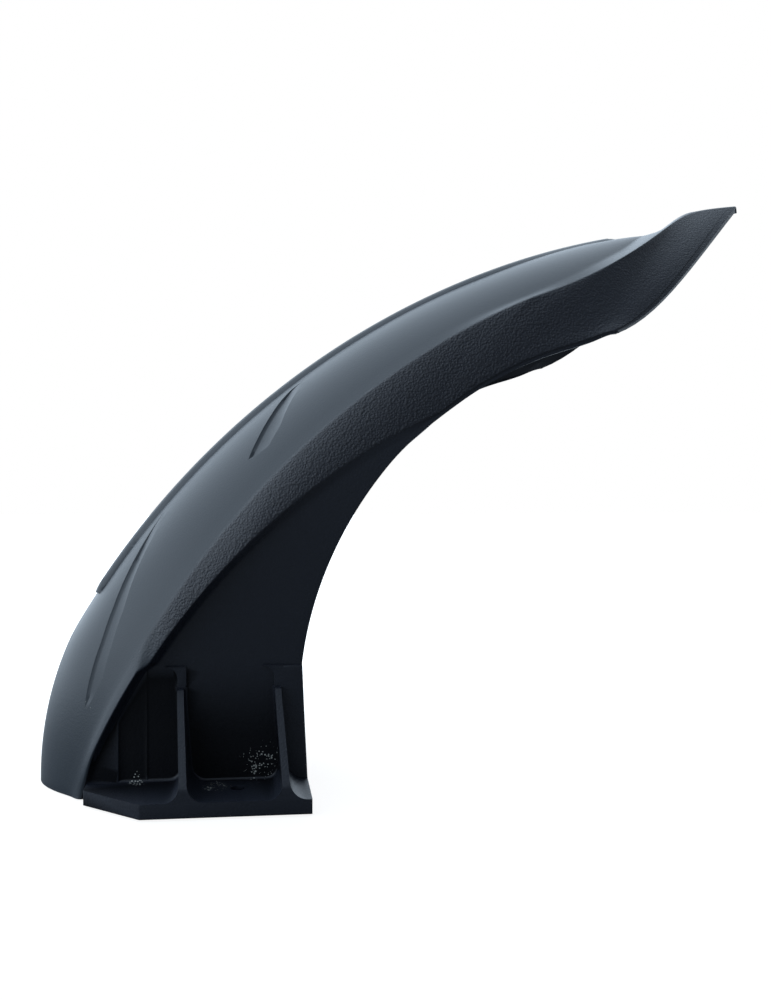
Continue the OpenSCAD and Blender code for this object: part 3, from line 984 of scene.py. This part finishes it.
@dataclass
class Foot:
    """The screw flange, the gusset ribs with their caps and the front land, on the near side."""

    form: GuardForm
    half: float = 58.0
    thick: float = 5.5
    back: float = 56.0
    front: float = 26.5
    chamfer: Span = (22.0, 18.0)
    sink: float = 1.6
    body_r: float = 0.7
    hole_d: float = 5.5
    hole_y: float = 42.5
    rib_top: float = 49.0
    rib_shoulder: float = 41.0
    rib_foot: float = 10.0
    rib_t: float = 2.8
    rib_t_top: float = 2.4
    rib_rear_x: float = 18.6
    rib_front_x: float = 17.6
    rib_lean: float = 2.6
    foot_r: float = 6.0
    cap_r: float = 4.5
    cap_h: float = 1.2
    cap_side: float = 0.9
    land_x: float = 24.4
    land_foot: float = 3.0
    root_r: float = 1.8
    edge_r: float = 0.8
    rear_depth: float = 0.95
    depth: float = 0.3
    # Heights at which faces are cut, so that they can follow the curved skirt
    body_levels: tuple[float, ...] = (18.0, 26.0, 34.0)
    pocket_levels: tuple[float, ...] = (14.0, 20.0, 26.0, 32.0, 38.0, 44.0)
    plate_levels: tuple[float, ...] = (10.0, 16.0, 22.0, 28.0, 34.0, 38.0, 42.0, 46.0)
    # How far the cutters reach to the back, the front, the side and upwards
    far_back: float = -90.0
    far_front: float = 60.0
    far_side: float = -70.0
    far_up: float = 60.0
    # What clears the flange beside the tail
    tail_low: float = 1.6
    tail_side: float = -80.0
    tail_front: float = -46.0

    def body(self) -> Thing:
        """Makes the wedge that fills the corner between the flange and the skirt.

        Returns:
            The wedge.
        """
        form = self.form
        bm = bmesh.new()
        high = (self.front, self.sink - form.skirt_half, self.rib_shoulder)
        block(bm, (-self.back, -self.half, 0.0), high)
        slice_at(bm, (self.thick, self.rib_foot, *self.body_levels))
        shoulder_y = form.skirt_y(self.rib_shoulder) + self.cap_h + 2.5
        for v in bm.verts:
            z = v.co.z / MM
            if v.co.x > 0:
                share = clamp(part(self.thick, self.rib_top, z))
                v.co.x = mix(self.front, self.land_x, share) * MM
            if v.co.y < -(form.skirt_half + 2) * MM:
                share = clamp(part(self.rib_foot, self.rib_shoulder, z))
                v.co.y = -mix(self.half, shoulder_y, share) * MM
            else:
                v.co.y = (self.sink - form.skirt_y(z)) * MM
        across, forward = self.chamfer
        along = Vector((-across, forward, 0)).normalized()
        cut = bmesh.ops.bisect_plane(
            bm,
            geom=bm.verts[:] + bm.edges[:] + bm.faces[:],
            plane_co=((across - self.back) * MM, -self.half * MM, 0),
            plane_no=Vector((-along.y, along.x, 0)),
            clear_outer=True,
        )
        bmesh.ops.edgenet_fill(bm, edges=only(BMEdge, cut["geom_cut"]))
        bmesh.ops.recalc_face_normals(bm, faces=bm.faces)
        outer = edges_where(bm, lambda v: v.co.y < -(form.skirt_half + 3) * MM)
        sharp = [e for e in outer if e.is_manifold and e.calc_face_angle() > 0.3]
        round_edges(bm, sharp, self.body_r, 3)
        return new_object("foot", bm)

    def pocket(self, low: Point, high: Point, sides: Callable[[float, float], float]) -> Thing:
        """Makes the cutter of a pocket, with rounded inner edges.

        Args:
            low: lowest corner.
            high: highest corner; its side is the back wall's, at the foot of the skirt.
            sides: gives the place along the guard for a share across and a height.

        Returns:
            The cutter.
        """
        form = self.form
        bm = bmesh.new()
        block(bm, low, high)
        bottom = edges_where(bm, lambda v: near(v.co.z, low[2]))
        crosswise = [e for e in bottom if near(e.verts[0].co.x, e.verts[1].co.x / MM)]
        round_edges(bm, crosswise, self.foot_r, 7)
        round_edges(bm, edges_where(bm, lambda v: near(v.co.y, high[1])), self.root_r, 5)
        slice_at(bm, self.pocket_levels)
        for v in bm.verts:
            z = v.co.z / MM
            v.co.x = sides(part(low[0], high[0], v.co.x / MM), z) * MM
            v.co.y -= (form.skirt_y(z) - form.skirt_half) * MM
        return new_object("pocket", bm)

    def rib_side(self, x: float, z: float, side: int) -> float:
        """Returns where a rib that stands at x has its side at a height: -1 is back, 1 front."""
        share = clamp(part(self.thick, self.rib_shoulder, z))
        return x - self.rib_lean * share + side * mix(self.rib_t, self.rib_t_top, share) / 2

    def pockets(self) -> list[Thing]:
        """Makes the cutters behind the rear rib, between the ribs and before the front rib.

        Returns:
            The cutters.
        """
        rear, front = -self.rib_rear_x, self.rib_front_x
        made = []
        for left, right, depth in (
            (None, rear, self.rear_depth), (rear, front, self.depth), (front, None, self.depth)
        ):

            def sides(
                share: float, z: float, a: float | None = left, b: float | None = right
            ) -> float:
                """Keeps a cutter between its two ribs.

                Args:
                    share: share of the way across the pocket.
                    z: height.
                    a: place of the rib behind, if there is one.
                    b: place of the rib in front, if there is one.

                Returns:
                    The place along the guard.
                """
                start = self.far_back if a is None else self.rib_side(a, z, 1)
                end = self.far_front if b is None else self.rib_side(b, z, -1)
                return mix(start, end, share)

            low = (self.far_back if left is None else left, self.far_side, self.thick)
            wall = depth - self.form.skirt_half
            high = (self.far_front if right is None else right, wall, self.far_up)
            made.append(self.pocket(low, high, sides))
        low = (self.far_back, self.tail_side, self.thick + self.tail_low)
        return made + [box_object("tail_side", low, (self.tail_front, 0.0, self.far_up))]

    def plate(self, name: str, outline: list[Span]) -> Thing:
        """Makes a flat plate that lies on the skirt, with softened edges.

        Args:
            name: name of the object.
            outline: points along the guard and up, in order.

        Returns:
            The plate.
        """
        form = self.form
        bm = bmesh.new()
        y = (1.0 - form.skirt_half) * MM
        face = bm.faces.new([bm.verts.new((x * MM, y, z * MM)) for x, z in outline])
        pushed = bmesh.ops.extrude_face_region(bm, geom=[face])["geom"]
        moved = only(BMVert, pushed)
        bmesh.ops.translate(bm, verts=moved, vec=(0, -(1 + self.cap_h) * MM, 0))
        bmesh.ops.recalc_face_normals(bm, faces=bm.faces)
        round_edges(bm, edges_where(bm, lambda v: v in moved), self.edge_r, 3)
        slice_at(bm, self.plate_levels)
        for v in bm.verts:
            v.co.y -= (form.skirt_y(v.co.z / MM) - form.skirt_half) * MM
        return new_object(name, bm)

    def cap(self, x: float) -> Thing:
        """Makes the flat cap with which a rib ends on the skirt.

        Args:
            x: place of the rib's foot.

        Returns:
            The cap.
        """
        top, r, foot = self.rib_top, self.cap_r, self.rib_shoulder
        left, right = (self.rib_side(x, foot, side) for side in (-1, 1))
        outer = right + self.cap_side
        outline = [(left, foot - 2), (right, foot - 2), (outer, foot + 1)]
        outline += [(outer, top), (left - r, top)]
        for i in range(1, 9):
            turn = math.radians(90 - 90 / 8 * i)
            outline.append((left - r + r * math.cos(turn), top - r + r * math.sin(turn)))
        return self.plate("cap", outline)

    def land(self) -> Thing:
        """Makes the flat land between the front rib and the rim.

        Returns:
            The land.
        """
        back = self.rib_front_x - self.rib_lean
        outline = [(back, self.land_foot), (self.front, self.land_foot), (self.front, self.thick)]
        outline += [(self.land_x, self.rib_top), (back, self.rib_top)]
        return self.plate("land", outline)

    def both(self) -> Thing:
        """Makes the feet of both sides as one object.

        Returns:
            The feet.
        """
        foot = self.body()
        combine(foot, [(Join.CUT, p) for p in self.pockets()])
        rear, front = self.cap(-self.rib_rear_x), self.cap(self.rib_front_x)
        combine(foot, [(Join.ADD, rear), (Join.ADD, front), (Join.ADD, self.land())])
        return mirrored("feet", [foot])

    def holes(self) -> Thing:
        """Makes the cutters of the two fixing holes.

        Returns:
            The cutters as one object.
        """
        bm, r = bmesh.new(), self.hole_d / 2 * MM
        for side in (-1, 1):
            place = Matrix.Translation((0, side * self.hole_y * MM, 0))
            bmesh.ops.create_cone(
                bm, cap_ends=True, segments=40, radius1=r, radius2=r, depth=40 * MM, matrix=place
            )
        return new_object("holes", bm)


def srgb(code: str) -> tuple[float, float, float, float]:
    """Turns an sRGB hex colour to a linear one.

    Args:
        code: six hex digits after a hash.

    Returns:
        Linear red, green, blue and an alpha of 1.
    """
    parts = [int(code[i : i + 2], 16) / 255 for i in (1, 3, 5)]
    linear = [c / 12.92 if c <= 0.04045 else ((c + 0.055) / 1.055) ** 2.4 for c in parts]
    return (*linear, 1.0)


def add_node(
    tree: Tree, kind: str, settings: dict | None = None, links: dict | None = None
) -> bpy.types.Node:
    """Adds a node with its settings and its incoming links.

    Args:
        tree: the node tree.
        kind: type name of the node after "ShaderNode".
        settings: properties by name, and socket values by "in:NAME" or "in:NUMBER".
        links: sockets that feed an input, by the input's name or number.

    Returns:
        The node.
    """
    node = tree.nodes.new(f"ShaderNode{kind}")
    for name, value in (settings or {}).items():
        if name.startswith("in:"):
            key = name[3:]
            node.inputs[int(key) if key.isdigit() else key].default_value = value
        else:
            setattr(node, name, value)
    for name, socket in (links or {}).items():
        tree.links.new(socket, node.inputs[name])
    return node


def fresh_tree(owner: bpy.types.Material | bpy.types.World) -> Tree:
    """Gives a material or a world an empty node tree.

    Args:
        owner: the material or the world.

    Returns:
        The tree.
    """
    owner.use_nodes = True
    owner.node_tree.nodes.clear()
    return owner.node_tree


def maths(tree: Tree, operation: str, a: Socket, b: Socket) -> Socket:
    """Returns the result of an operation on two values."""
    return add_node(tree, "Math", {"operation": operation}, {0: a, 1: b}).outputs[0]


def ramp(
    tree: Tree, value: Socket, source: Span = (0, 1), target: Span = (0, 1), kind: str = "LINEAR"
) -> Socket:
    """Takes a value from one range to another, and keeps it inside.

    Args:
        tree: the node tree.
        value: the value.
        source: the range that it comes from.
        target: the range that it goes to.
        kind: how it runs between the ends.

    Returns:
        The new value.
    """
    names = ("in:From Min", "in:From Max", "in:To Min", "in:To Max")
    settings = {"interpolation_type": kind, **dict(zip(names, (*source, *target)))}
    return add_node(tree, "MapRange", settings, {"Value": value}).outputs[0]


def blend(tree: Tree, share: Socket, base: Socket | str, over: str) -> Socket:
    """Lays a share of one colour over another.

    Args:
        tree: the node tree.
        share: how much of the upper colour shows.
        base: the lower colour, from a socket or as sRGB hex.
        over: the upper colour as sRGB hex.

    Returns:
        The mixed colour.
    """
    settings, links = {"data_type": "RGBA", "in:7": srgb(over)}, {0: share}
    if isinstance(base, str):
        settings["in:6"] = srgb(base)
    else:
        links[6] = base
    return add_node(tree, "Mix", settings, links).outputs[2]


def texture(tree: Tree, kind: str, grain: float, place: Socket, **settings: object) -> Socket:
    """Adds a texture.

    Args:
        tree: the node tree.
        kind: type name of its node after "ShaderNode".
        grain: size of its grains in millimetres.
        place: the place at which it is read.
        settings: socket values by name, and its feature.

    Returns:
        The pattern, as a value.
    """
    values = {"feature" if k == "feature" else f"in:{k}": v for k, v in settings.items()}
    values["in:Scale"] = 1 / MM / grain
    return add_node(tree, kind, values, {"Vector": place}).outputs[0]


@dataclass(frozen=True)
class MouldedPolypropylene:
    """Black polypropylene, injection moulded against a tool with three textures.

    The top face left a polished tool, so it is satin and mirrors soft light. The band below
    the upper ridge left a coarsely etched tool and shows leather-like grains. The skirts and
    the inside left a finely blasted tool.
    """

    body: str = "#161b26"
    # Painted sheen: the lighter, bluer colour of the satin top
    painted_sheen: str = "#1b242d"
    # Painted shade: the darker colour in the grooves of the coarse grain
    groove: str = "#0e121c"
    # Painted shade: the dark colour of the pockets
    painted_pocket_shade: str = "#080a10"
    dust: str = "#a9aba6"
    ior: float = 1.49
    relief_mm: float = 0.25
    grain_mm: float = 0.85
    fine_mm: float = 0.7
    fine_depth: Span = (0.7, 0.22)
    # Where the painted shade in the grain's grooves starts and is full
    groove_shade_span: Span = (0.15, 0.75)
    speck_mm: float = 0.95
    patch_mm: float = 4.0
    patch_span: Span = (0.22, 0.6)
    speck_span: Span = (-0.02, 0.36)
    # Each place where dust lies, in millimetres, and how far it reaches
    dust_places: tuple[tuple[Point, float], ...] = (
        ((8.0, -33.0, 12.0), 14.0),
        ((-8.0, -40.0, 5.5), 11.0),
        ((-38.0, -33.0, 6.0), 7.0),
        ((-56.6, -28.4, 34.0), 4.5),
    )
    # From the textured skirt to the satin top, and from the open faces to the pockets, where less
    # gloss adds to their painted shade
    roughness: Span = (0.48, 0.36)
    gloss: Span = (0.5, 0.2)

    def material(self) -> bpy.types.Material:
        """Makes the material, which reads its zones from the attribute "zone".

        Returns:
            The material.
        """
        made = bpy.data.materials.new("moulded_polypropylene")
        tree = fresh_tree(made)
        place = add_node(tree, "TexCoord").outputs["Object"]
        zone = add_node(tree, "Attribute", {"attribute_name": "zone"}).outputs["Color"]
        split = add_node(tree, "SeparateColor", links={"Color": zone}).outputs
        # The red share is the satin finish and also carries the painted sheen of the top
        satin_and_sheen, grained, pocket = split["Red"], split["Green"], split["Blue"]
        # Etched grain stands out as pebbles on the band; blasting breaks up the skirts' gloss
        # and is only faint on the satin top
        pebbles = {"feature": "SMOOTH_F1", "Smoothness": 0.6}
        coarse = texture(tree, "TexVoronoi", self.grain_mm, place, **pebbles)
        fine = texture(tree, "TexNoise", self.fine_mm, place, Detail=2.0, Roughness=0.6)
        etched = maths(tree, "MULTIPLY", coarse, grained)
        blasted = maths(tree, "MULTIPLY", fine, ramp(tree, satin_and_sheen, target=self.fine_depth))
        height = maths(tree, "ADD", etched, blasted)
        relief = {"in:Strength": 1.0, "in:Distance": self.relief_mm * MM}
        bump = add_node(tree, "Bump", relief, {"Height": height})
        # Painted sheen: the satin top is coloured a lighter, hazy blue. Painted shade: grooves of
        # the grain and the pockets, which light hardly reaches, are coloured darker
        colour = blend(tree, satin_and_sheen, self.body, self.painted_sheen)
        # Painted shade: the grain's grooves are coloured darker
        colour = blend(tree, ramp(tree, etched, self.groove_shade_span), colour, self.groove)
        # Painted shade: the pockets are coloured darker
        colour = blend(tree, pocket, colour, self.painted_pocket_shade)
        # Settled dust: pale specks, thickest in the middle of each place where it lies
        specks = texture(tree, "TexVoronoi", self.speck_mm, place)
        patch = texture(tree, "TexNoise", self.patch_mm, place)
        lying = None
        for centre, reach in self.dust_places:
            settings = {"operation": "DISTANCE", "in:1": Vector(centre) * MM}
            away = add_node(tree, "VectorMath", settings, {0: place}).outputs["Value"]
            here = ramp(tree, away, (reach * MM, 0.3 * reach * MM))
            lying = here if lying is None else maths(tree, "MAXIMUM", lying, here)
        room = maths(tree, "MULTIPLY", lying, patch)
        size = ramp(tree, room, self.patch_span, self.speck_span)
        surface = {
            "Base Color": blend(tree, maths(tree, "LESS_THAN", specks, size), colour, self.dust),
            "Roughness": ramp(tree, satin_and_sheen, target=self.roughness),
            "Specular IOR Level": ramp(tree, pocket, target=self.gloss),
            "Normal": bump.outputs[0],
        }
        plastic = add_node(tree, "BsdfPrincipled", {"in:IOR": self.ior}, surface)
        add_node(tree, "OutputMaterial", links={"Surface": plastic.outputs[0]})
        return made


@dataclass(frozen=True)
class WhitePaper:
    """Uncoated white paper, laid flat as a floor.

    Its matt fibres scatter light evenly. The camera sees it white, and it still takes the
    guard's shadow. Painted shade makes its colour darker towards the camera, and the guard reflects
    that.
    """

    # Painted shade: the paper's colour near the camera is darker than far off
    near: str = "#6f6f6f"
    far: str = "#d0d0d0"
    span: Span = (-0.1, 0.25)
    glow: float = 0.88

    def material(self) -> bpy.types.Material:
        """Makes the material, which glows for the camera only.

        Returns:
            The material.
        """
        made = bpy.data.materials.new("white_paper")
        tree = fresh_tree(made)
        seen = add_node(tree, "LightPath").outputs["Is Camera Ray"]
        place = add_node(tree, "TexCoord").outputs["Object"]
        depth = add_node(tree, "SeparateXYZ", links={0: place}).outputs["Y"]
        # Painted shade: the paper is coloured darker towards the camera, which darkens it in the
        # guard's reflections
        painted_shade_tone = blend(tree, ramp(tree, depth, self.span), self.near, self.far)
        lit = add_node(tree, "BsdfDiffuse", links={"Color": painted_shade_tone}).outputs[0]
        glow = add_node(tree, "Emission", {"in:Strength": self.glow}).outputs[0]
        both = add_node(tree, "AddShader", links={0: lit, 1: glow}).outputs[0]
        mixed = add_node(tree, "MixShader", links={0: seen, 1: lit, 2: both})
        add_node(tree, "OutputMaterial", links={"Surface": mixed.outputs[0]})
        return made


@dataclass
class Mudguard:
    """The whole moulded guard."""

    form: GuardForm = field(default_factory=GuardForm)
    finish: MouldedPolypropylene = field(default_factory=MouldedPolypropylene)
    crease: float = 32.0
    seam_crease: float = 4.0
    below: tuple[Point, Point] = ((-200.0, -150.0, -100.0), (300.0, 150.0, 0.0))
    # Where the zones begin and are complete, in degrees or in millimetres above a ridge
    guard_span: Span = (70.0, 200.0)
    satin_span: Span = (-0.8, 0.8)
    tail_span: Span = (168.0, 178.0)
    upper_span: Span = (-0.9, -0.1)
    grain_span: Span = (92.0, 114.0)
    # The box of the pockets' painted shade, its part behind the rear rib where it is full, and how
    # it fades upwards
    pocket_box: Triple = (16.0, 55.0, 60.0)
    pocket_shade_rear: Span = (-18.0, 48.0)
    pocket_shade_span: Span = (54.0, 20.0)
    # Slanted faces catch light and get no painted shade; they are known by how much they face up
    slanted: Span = (0.3, 0.85)

    def __post_init__(self) -> None:
        """Gives the shell and the feet the same form."""
        self.shell, self.foot = Shell(self.form), Foot(self.form)

    def floor_cutter(self) -> Thing:
        """Makes the cutter that trims the guard at the ground plane."""
        return box_object("floor_cutter", *self.below)

    def zone(self, place: Vector, normal: Vector) -> tuple[float, float, float, float]:
        """Returns the shares of satin, coarse grain and painted pocket shade at a place of the
        surface.

        Args:
            place: the place in metres.
            normal: the surface normal.

        Returns:
            The shares and an alpha of 1.
        """
        form = self.form
        x, y, z = (c / MM for c in place)
        dx, dz = x - form.axle_x, z - form.axle_z
        angle = math.degrees(math.atan2(dz, dx)) % 360
        rise = math.hypot(dx, dz) - form.rim_r
        if angle > self.guard_span[1] or angle < self.guard_span[0]:
            return (0.0, 0.0, 0.0, 1.0)
        radial = Vector((dx, 0, dz)).normalized()
        # The inside of the wall faces the wheel and the middle
        outward = normal.dot(radial) * 0.6 + normal.y * math.copysign(1, y) * 0.4
        if outward < -0.05:
            return (0.0, 0.0, 0.0, 1.0)
        tail = ease(*self.tail_span, angle)
        above = ease(*self.satin_span, rise - form.shoulder_rise(angle))
        upper = ease(*self.upper_span, rise - form.ridge_rise(angle))
        front, side, top = self.pocket_box
        pocket = z < top and upper < 0.5 and x < front and abs(y) < side
        slanted = self.slanted[0] < normal.z < self.slanted[1]
        plate_y = form.skirt_y(z) + self.foot.cap_h
        on_cap = z > self.foot.rib_shoulder - 3 and abs(abs(y) - plate_y) < 0.5
        shade = 0.0
        # Painted shade: pockets darken fully behind the rear rib, and elsewhere more towards the
        # floor
        if pocket and not slanted and not on_cap:
            behind = x < self.pocket_shade_rear[0] and z < self.pocket_shade_rear[1]
            shade = 1.0 if behind else ease(*self.pocket_shade_span, z)
        grained = (1 - above) * upper * (1 - tail) * mix(0.5, 1, ease(*self.grain_span, angle))
        return (max(above, tail * upper), grained, shade, 1.0)

    def dress(self, guard: Thing) -> None:
        """Shades the guard and gives it its zones and material.

        Args:
            guard: the joined guard.
        """
        mesh = guard.data
        bm = bmesh.new()
        bm.from_mesh(mesh)
        layer = bm.faces.layers.int["solid"]
        for f in bm.faces:
            f.smooth = True
        for e in bm.edges:
            if e.is_manifold:
                one, other = e.link_faces
                limit = self.crease if one[layer] == other[layer] else self.seam_crease
                e.smooth = e.calc_face_angle() < math.radians(limit)
        bm.to_mesh(mesh)
        bm.free()
        # The zones hold satin, coarse grain and the painted shade of the pockets
        zones = mesh.color_attributes.new("zone", "FLOAT_COLOR", "POINT")
        for v in mesh.vertices:
            zones.data[v.index].color = self.zone(v.co, v.normal)
        mesh.materials.clear()
        mesh.materials.append(self.finish.material())

    def build(self) -> Thing:
        """Makes the guard and lets it stand for the solid.

        Returns:
            The guard.
        """
        shell, foot = self.shell, self.foot
        guard = shell.wall()
        combine(
            guard,
            [
                (Join.ADD, shell.spine()),
                (Join.CUT, shell.blades()),
                (Join.CUT, shell.recess()),
                (Join.CUT, self.floor_cutter()),
                (Join.ADD, foot.both()),
                (Join.CUT, foot.holes()),
            ],
        )
        self.dress(guard)
        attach(guard, "root")
        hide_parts("mudguard")
        LOG.info("mudguard: %d faces", len(guard.data.polygons))
        return guard


@dataclass
class Studio:
    """The floor, the soft lights and the camera."""

    camera_place: Point = (2.01, -376.0, 108.73)
    vanishing: Span = (243.0, 507.0)
    principal: Span = (335.5, 500.0)
    focal_px: float = 900.0
    sensor: float = 36.0
    image: tuple[int, int] = (771, 1000)
    bright_way: Point = (-0.65, 0.75, -0.12)
    shade: Span = (-0.84, 0.46)
    levels: Span = (0.2, 2.2)
    tint: str = "#e0f0ff"
    floor_half: float = 12.0
    floor_z: float = -0.0005

    def camera(self) -> None:
        """Places the camera where the photograph was taken."""
        away = (v - p for v, p in zip(self.vanishing, self.principal))
        forward = Vector((*away, self.focal_px)).normalized()
        up = Vector((0, -1, 0))
        up = (up - forward * up.dot(forward)).normalized()
        right = forward.cross(up)
        world = Matrix((right, forward, up))
        turn = Matrix((world.col[0], -world.col[1], -world.col[2])).transposed()
        data = bpy.data.cameras.new("camera")
        data.sensor_width = self.sensor
        data.lens = self.sensor * self.focal_px / self.image[1]
        data.shift_x = (self.image[0] / 2 - self.principal[0]) / self.image[1]
        data.shift_y = (self.principal[1] - self.image[1] / 2) / self.image[1]
        data.clip_start = 0.01
        made = add_object("camera", data)
        made.matrix_world = Matrix.Translation(Vector(self.camera_place) * MM) @ turn.to_4x4()
        bpy.context.scene.camera = made

    def soft_light(self, name: str, place: Point, target: Point, size: float, power: float) -> None:
        """Hangs a square soft light.

        Args:
            name: name of the light.
            place: its place, in metres.
            target: the point that it faces, in metres.
            size: length of its side, in metres.
            power: its power in watts.
        """
        data = bpy.data.lights.new(name, "AREA")
        data.shape = "SQUARE"
        data.size = size
        data.energy = power
        data.color = srgb(self.tint)[:3]
        made = add_object(name, data)
        made.location = place
        aim = Vector(target) - Vector(place)
        made.rotation_euler = aim.to_track_quat("-Z", "Y").to_euler()

    def floor(self) -> None:
        """Lays the pale floor, which runs out of sight in every direction."""
        bm = bmesh.new()
        bmesh.ops.create_grid(bm, x_segments=1, y_segments=1, size=self.floor_half)
        bmesh.ops.translate(bm, verts=bm.verts, vec=(0, 0, self.floor_z))
        made = new_object("floor", bm)
        made.data.materials.append(WhitePaper().material())

    def world(self) -> None:
        """Makes the surroundings: white to the camera, and a soft grey light elsewhere."""
        world = bpy.data.worlds.new("studio")
        bpy.context.scene.world = world
        tree = fresh_tree(world)
        seen = add_node(tree, "LightPath").outputs["Is Camera Ray"]
        way = add_node(tree, "TexCoord").outputs["Generated"]
        settings = {"operation": "DOT_PRODUCT", "in:1": Vector(self.bright_way).normalized()}
        toward = add_node(tree, "VectorMath", settings, {0: way}).outputs["Value"]
        level = ramp(tree, toward, self.shade, self.levels, "SMOOTHSTEP")
        grey, white = (
            add_node(tree, "Background", {"in:Color": srgb(colour)}, links).outputs[0]
            for colour, links in ((self.tint, {"Strength": level}), ("#ffffff", None))
        )
        mixed = add_node(tree, "MixShader", links={0: seen, 1: grey, 2: white})
        add_node(tree, "OutputWorld", links={"Surface": mixed.outputs[0]})

    def build(self) -> None:
        """Sets up the whole studio."""
        self.camera()
        self.floor()
        self.world()
        self.soft_light("key", (-1.1, 1.1, 1.1), (0.05, 0.0, 0.12), 1.6, 4.0)
        self.soft_light("side", (-1.6, -0.6, 0.45), (-0.04, -0.03, 0.06), 1.0, 1.6)
        bpy.context.scene.view_settings.view_transform = "Standard"


def main() -> None:
    """Builds the guard and the studio, and reports what was made."""
    logging.basicConfig(level=logging.INFO, format="%(name)s: %(message)s")
    Mudguard().build()
    Studio().build()


if __name__ == "__main__":
    main()
